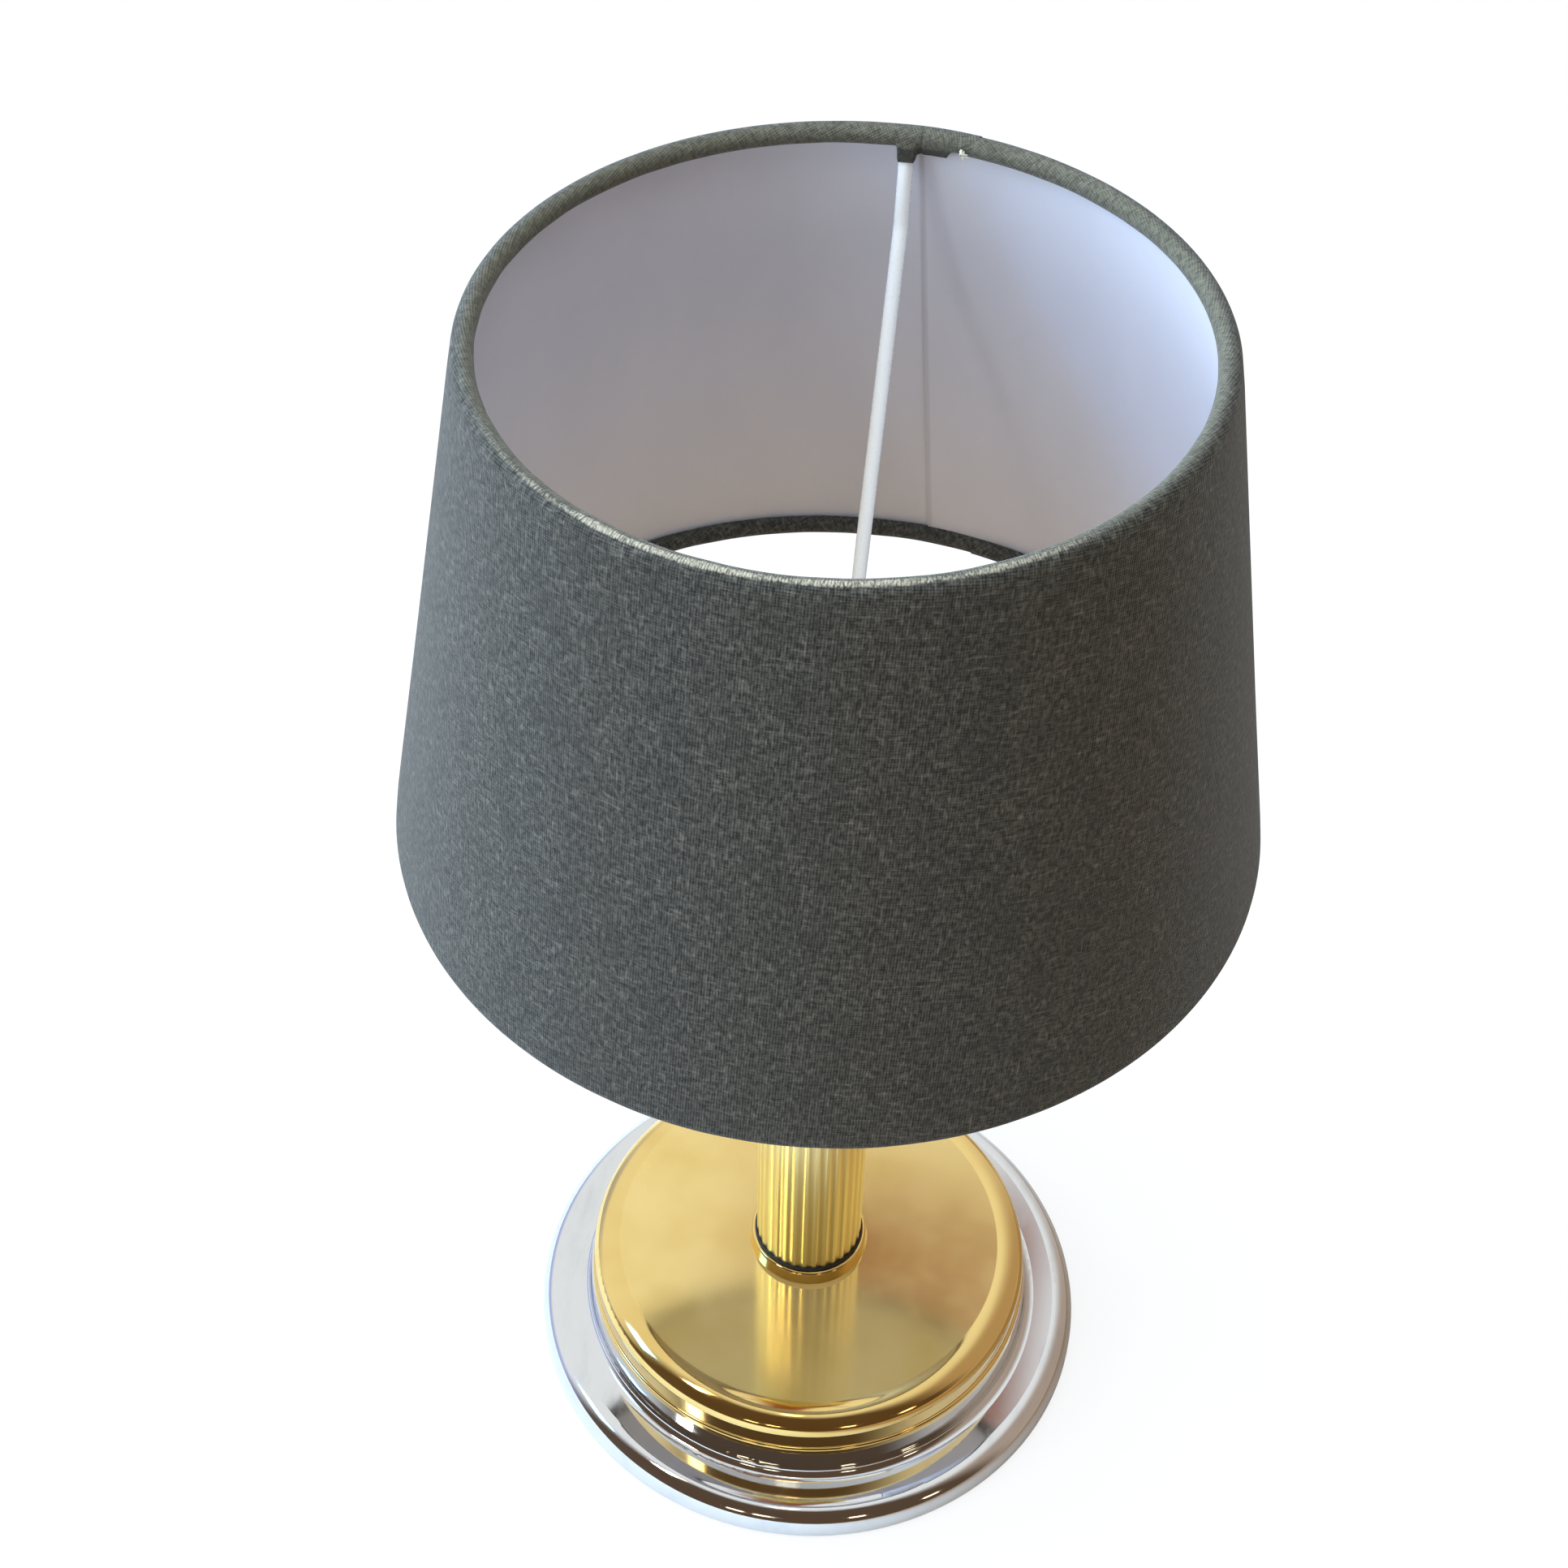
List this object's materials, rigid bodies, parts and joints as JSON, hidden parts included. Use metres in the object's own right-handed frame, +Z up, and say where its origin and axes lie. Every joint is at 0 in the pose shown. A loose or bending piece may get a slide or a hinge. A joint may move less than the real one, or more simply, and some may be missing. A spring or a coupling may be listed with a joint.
{
  "type": "candle lamp with shade",
  "caption": "Table candle lamp: a spring-fed candle in a fluted brass column on a round chrome and brass foot, with a tapered dark fabric shade that lifts off.",
  "frame": {"origin": "centre of the felt's underside, on the table, on the lamp's axis", "axes": "+Z up along the lamp's axis; +Y from the axis towards the first of the shade's arms, the one that the picture shows; +X completes a right-handed frame"},
  "size_m": [0.198, 0.198, 0.342],
  "materials": {
    "chrome": "polished",
    "brass_polished": "polished",
    "brass_satin": "satin",
    "brass_fluted": "satin, drawn in flutes",
    "black_rubber": "matte",
    "cast_iron": "rough",
    "zinc_steel": "zinc plated",
    "spring_steel": "drawn wire",
    "felt": "pressed felt",
    "wax": "candle wax",
    "wick": "braided cotton",
    "white_coat": "gloss white coat",
    "shade_cloth": "charcoal linen weave",
    "shade_plastic": "white, slightly embossed"
  },
  "bodies": {
    "base": {"felt_pad": "felt", "base_plate": "zinc_steel", "plate_screws": "zinc_steel", "base_weight": "cast_iron", "base_washer": "zinc_steel", "base_nut": "zinc_steel", "tie_rod": "zinc_steel", "base_flange": "chrome", "spacer_sleeve": "zinc_steel", "base_cap": "brass_satin", "collar": "brass_polished", "seal_ring": "black_rubber", "column_plug": "brass_polished", "column": "brass_fluted", "column_cap": "brass_polished", "candle_tube": "brass_polished", "bayonet_pins": "brass_polished", "candle_spring": "spring_steel"},
    "candle": {"follower": "zinc_steel", "candle": "wax", "wick": "wick"},
    "nozzle": {"nozzle": "brass_polished"},
    "shade_carrier": {"shade_carrier": "brass_polished"},
    "shade": {"spider_ring": "white_coat", "top_ring": "white_coat", "bottom_ring": "white_coat", "shade_fabric": "shade_cloth", "shade_lining": "shade_plastic", "spider_arm_1": "white_coat", "spider_arm_2": "white_coat", "spider_arm_3": "white_coat"}
  },
  "joints": [
    {"name": "shade_turn", "type": "hinge", "parent": "base", "child": "shade_carrier", "pos_m": [0, 0, 0.2155], "axis": [0, 0, 1], "continuous": true},
    {"name": "shade_lift", "type": "slide", "parent": "shade_carrier", "child": "shade", "axis": [0, 0, 1], "range_m": [0, 0.06]},
    {"name": "nozzle_turn", "type": "hinge", "parent": "base", "child": "nozzle", "pos_m": [0, 0, 0.236], "axis": [0, 0, 1], "range_deg": [0, 25]},
    {"name": "candle_feed", "type": "slide", "parent": "base", "child": "candle", "axis": [0, 0, 1], "range_m": [-0.012, 0], "stiffness_N_per_m": 50, "springref_m": 0.16, "deforming": ["candle_spring"]}
  ]
}
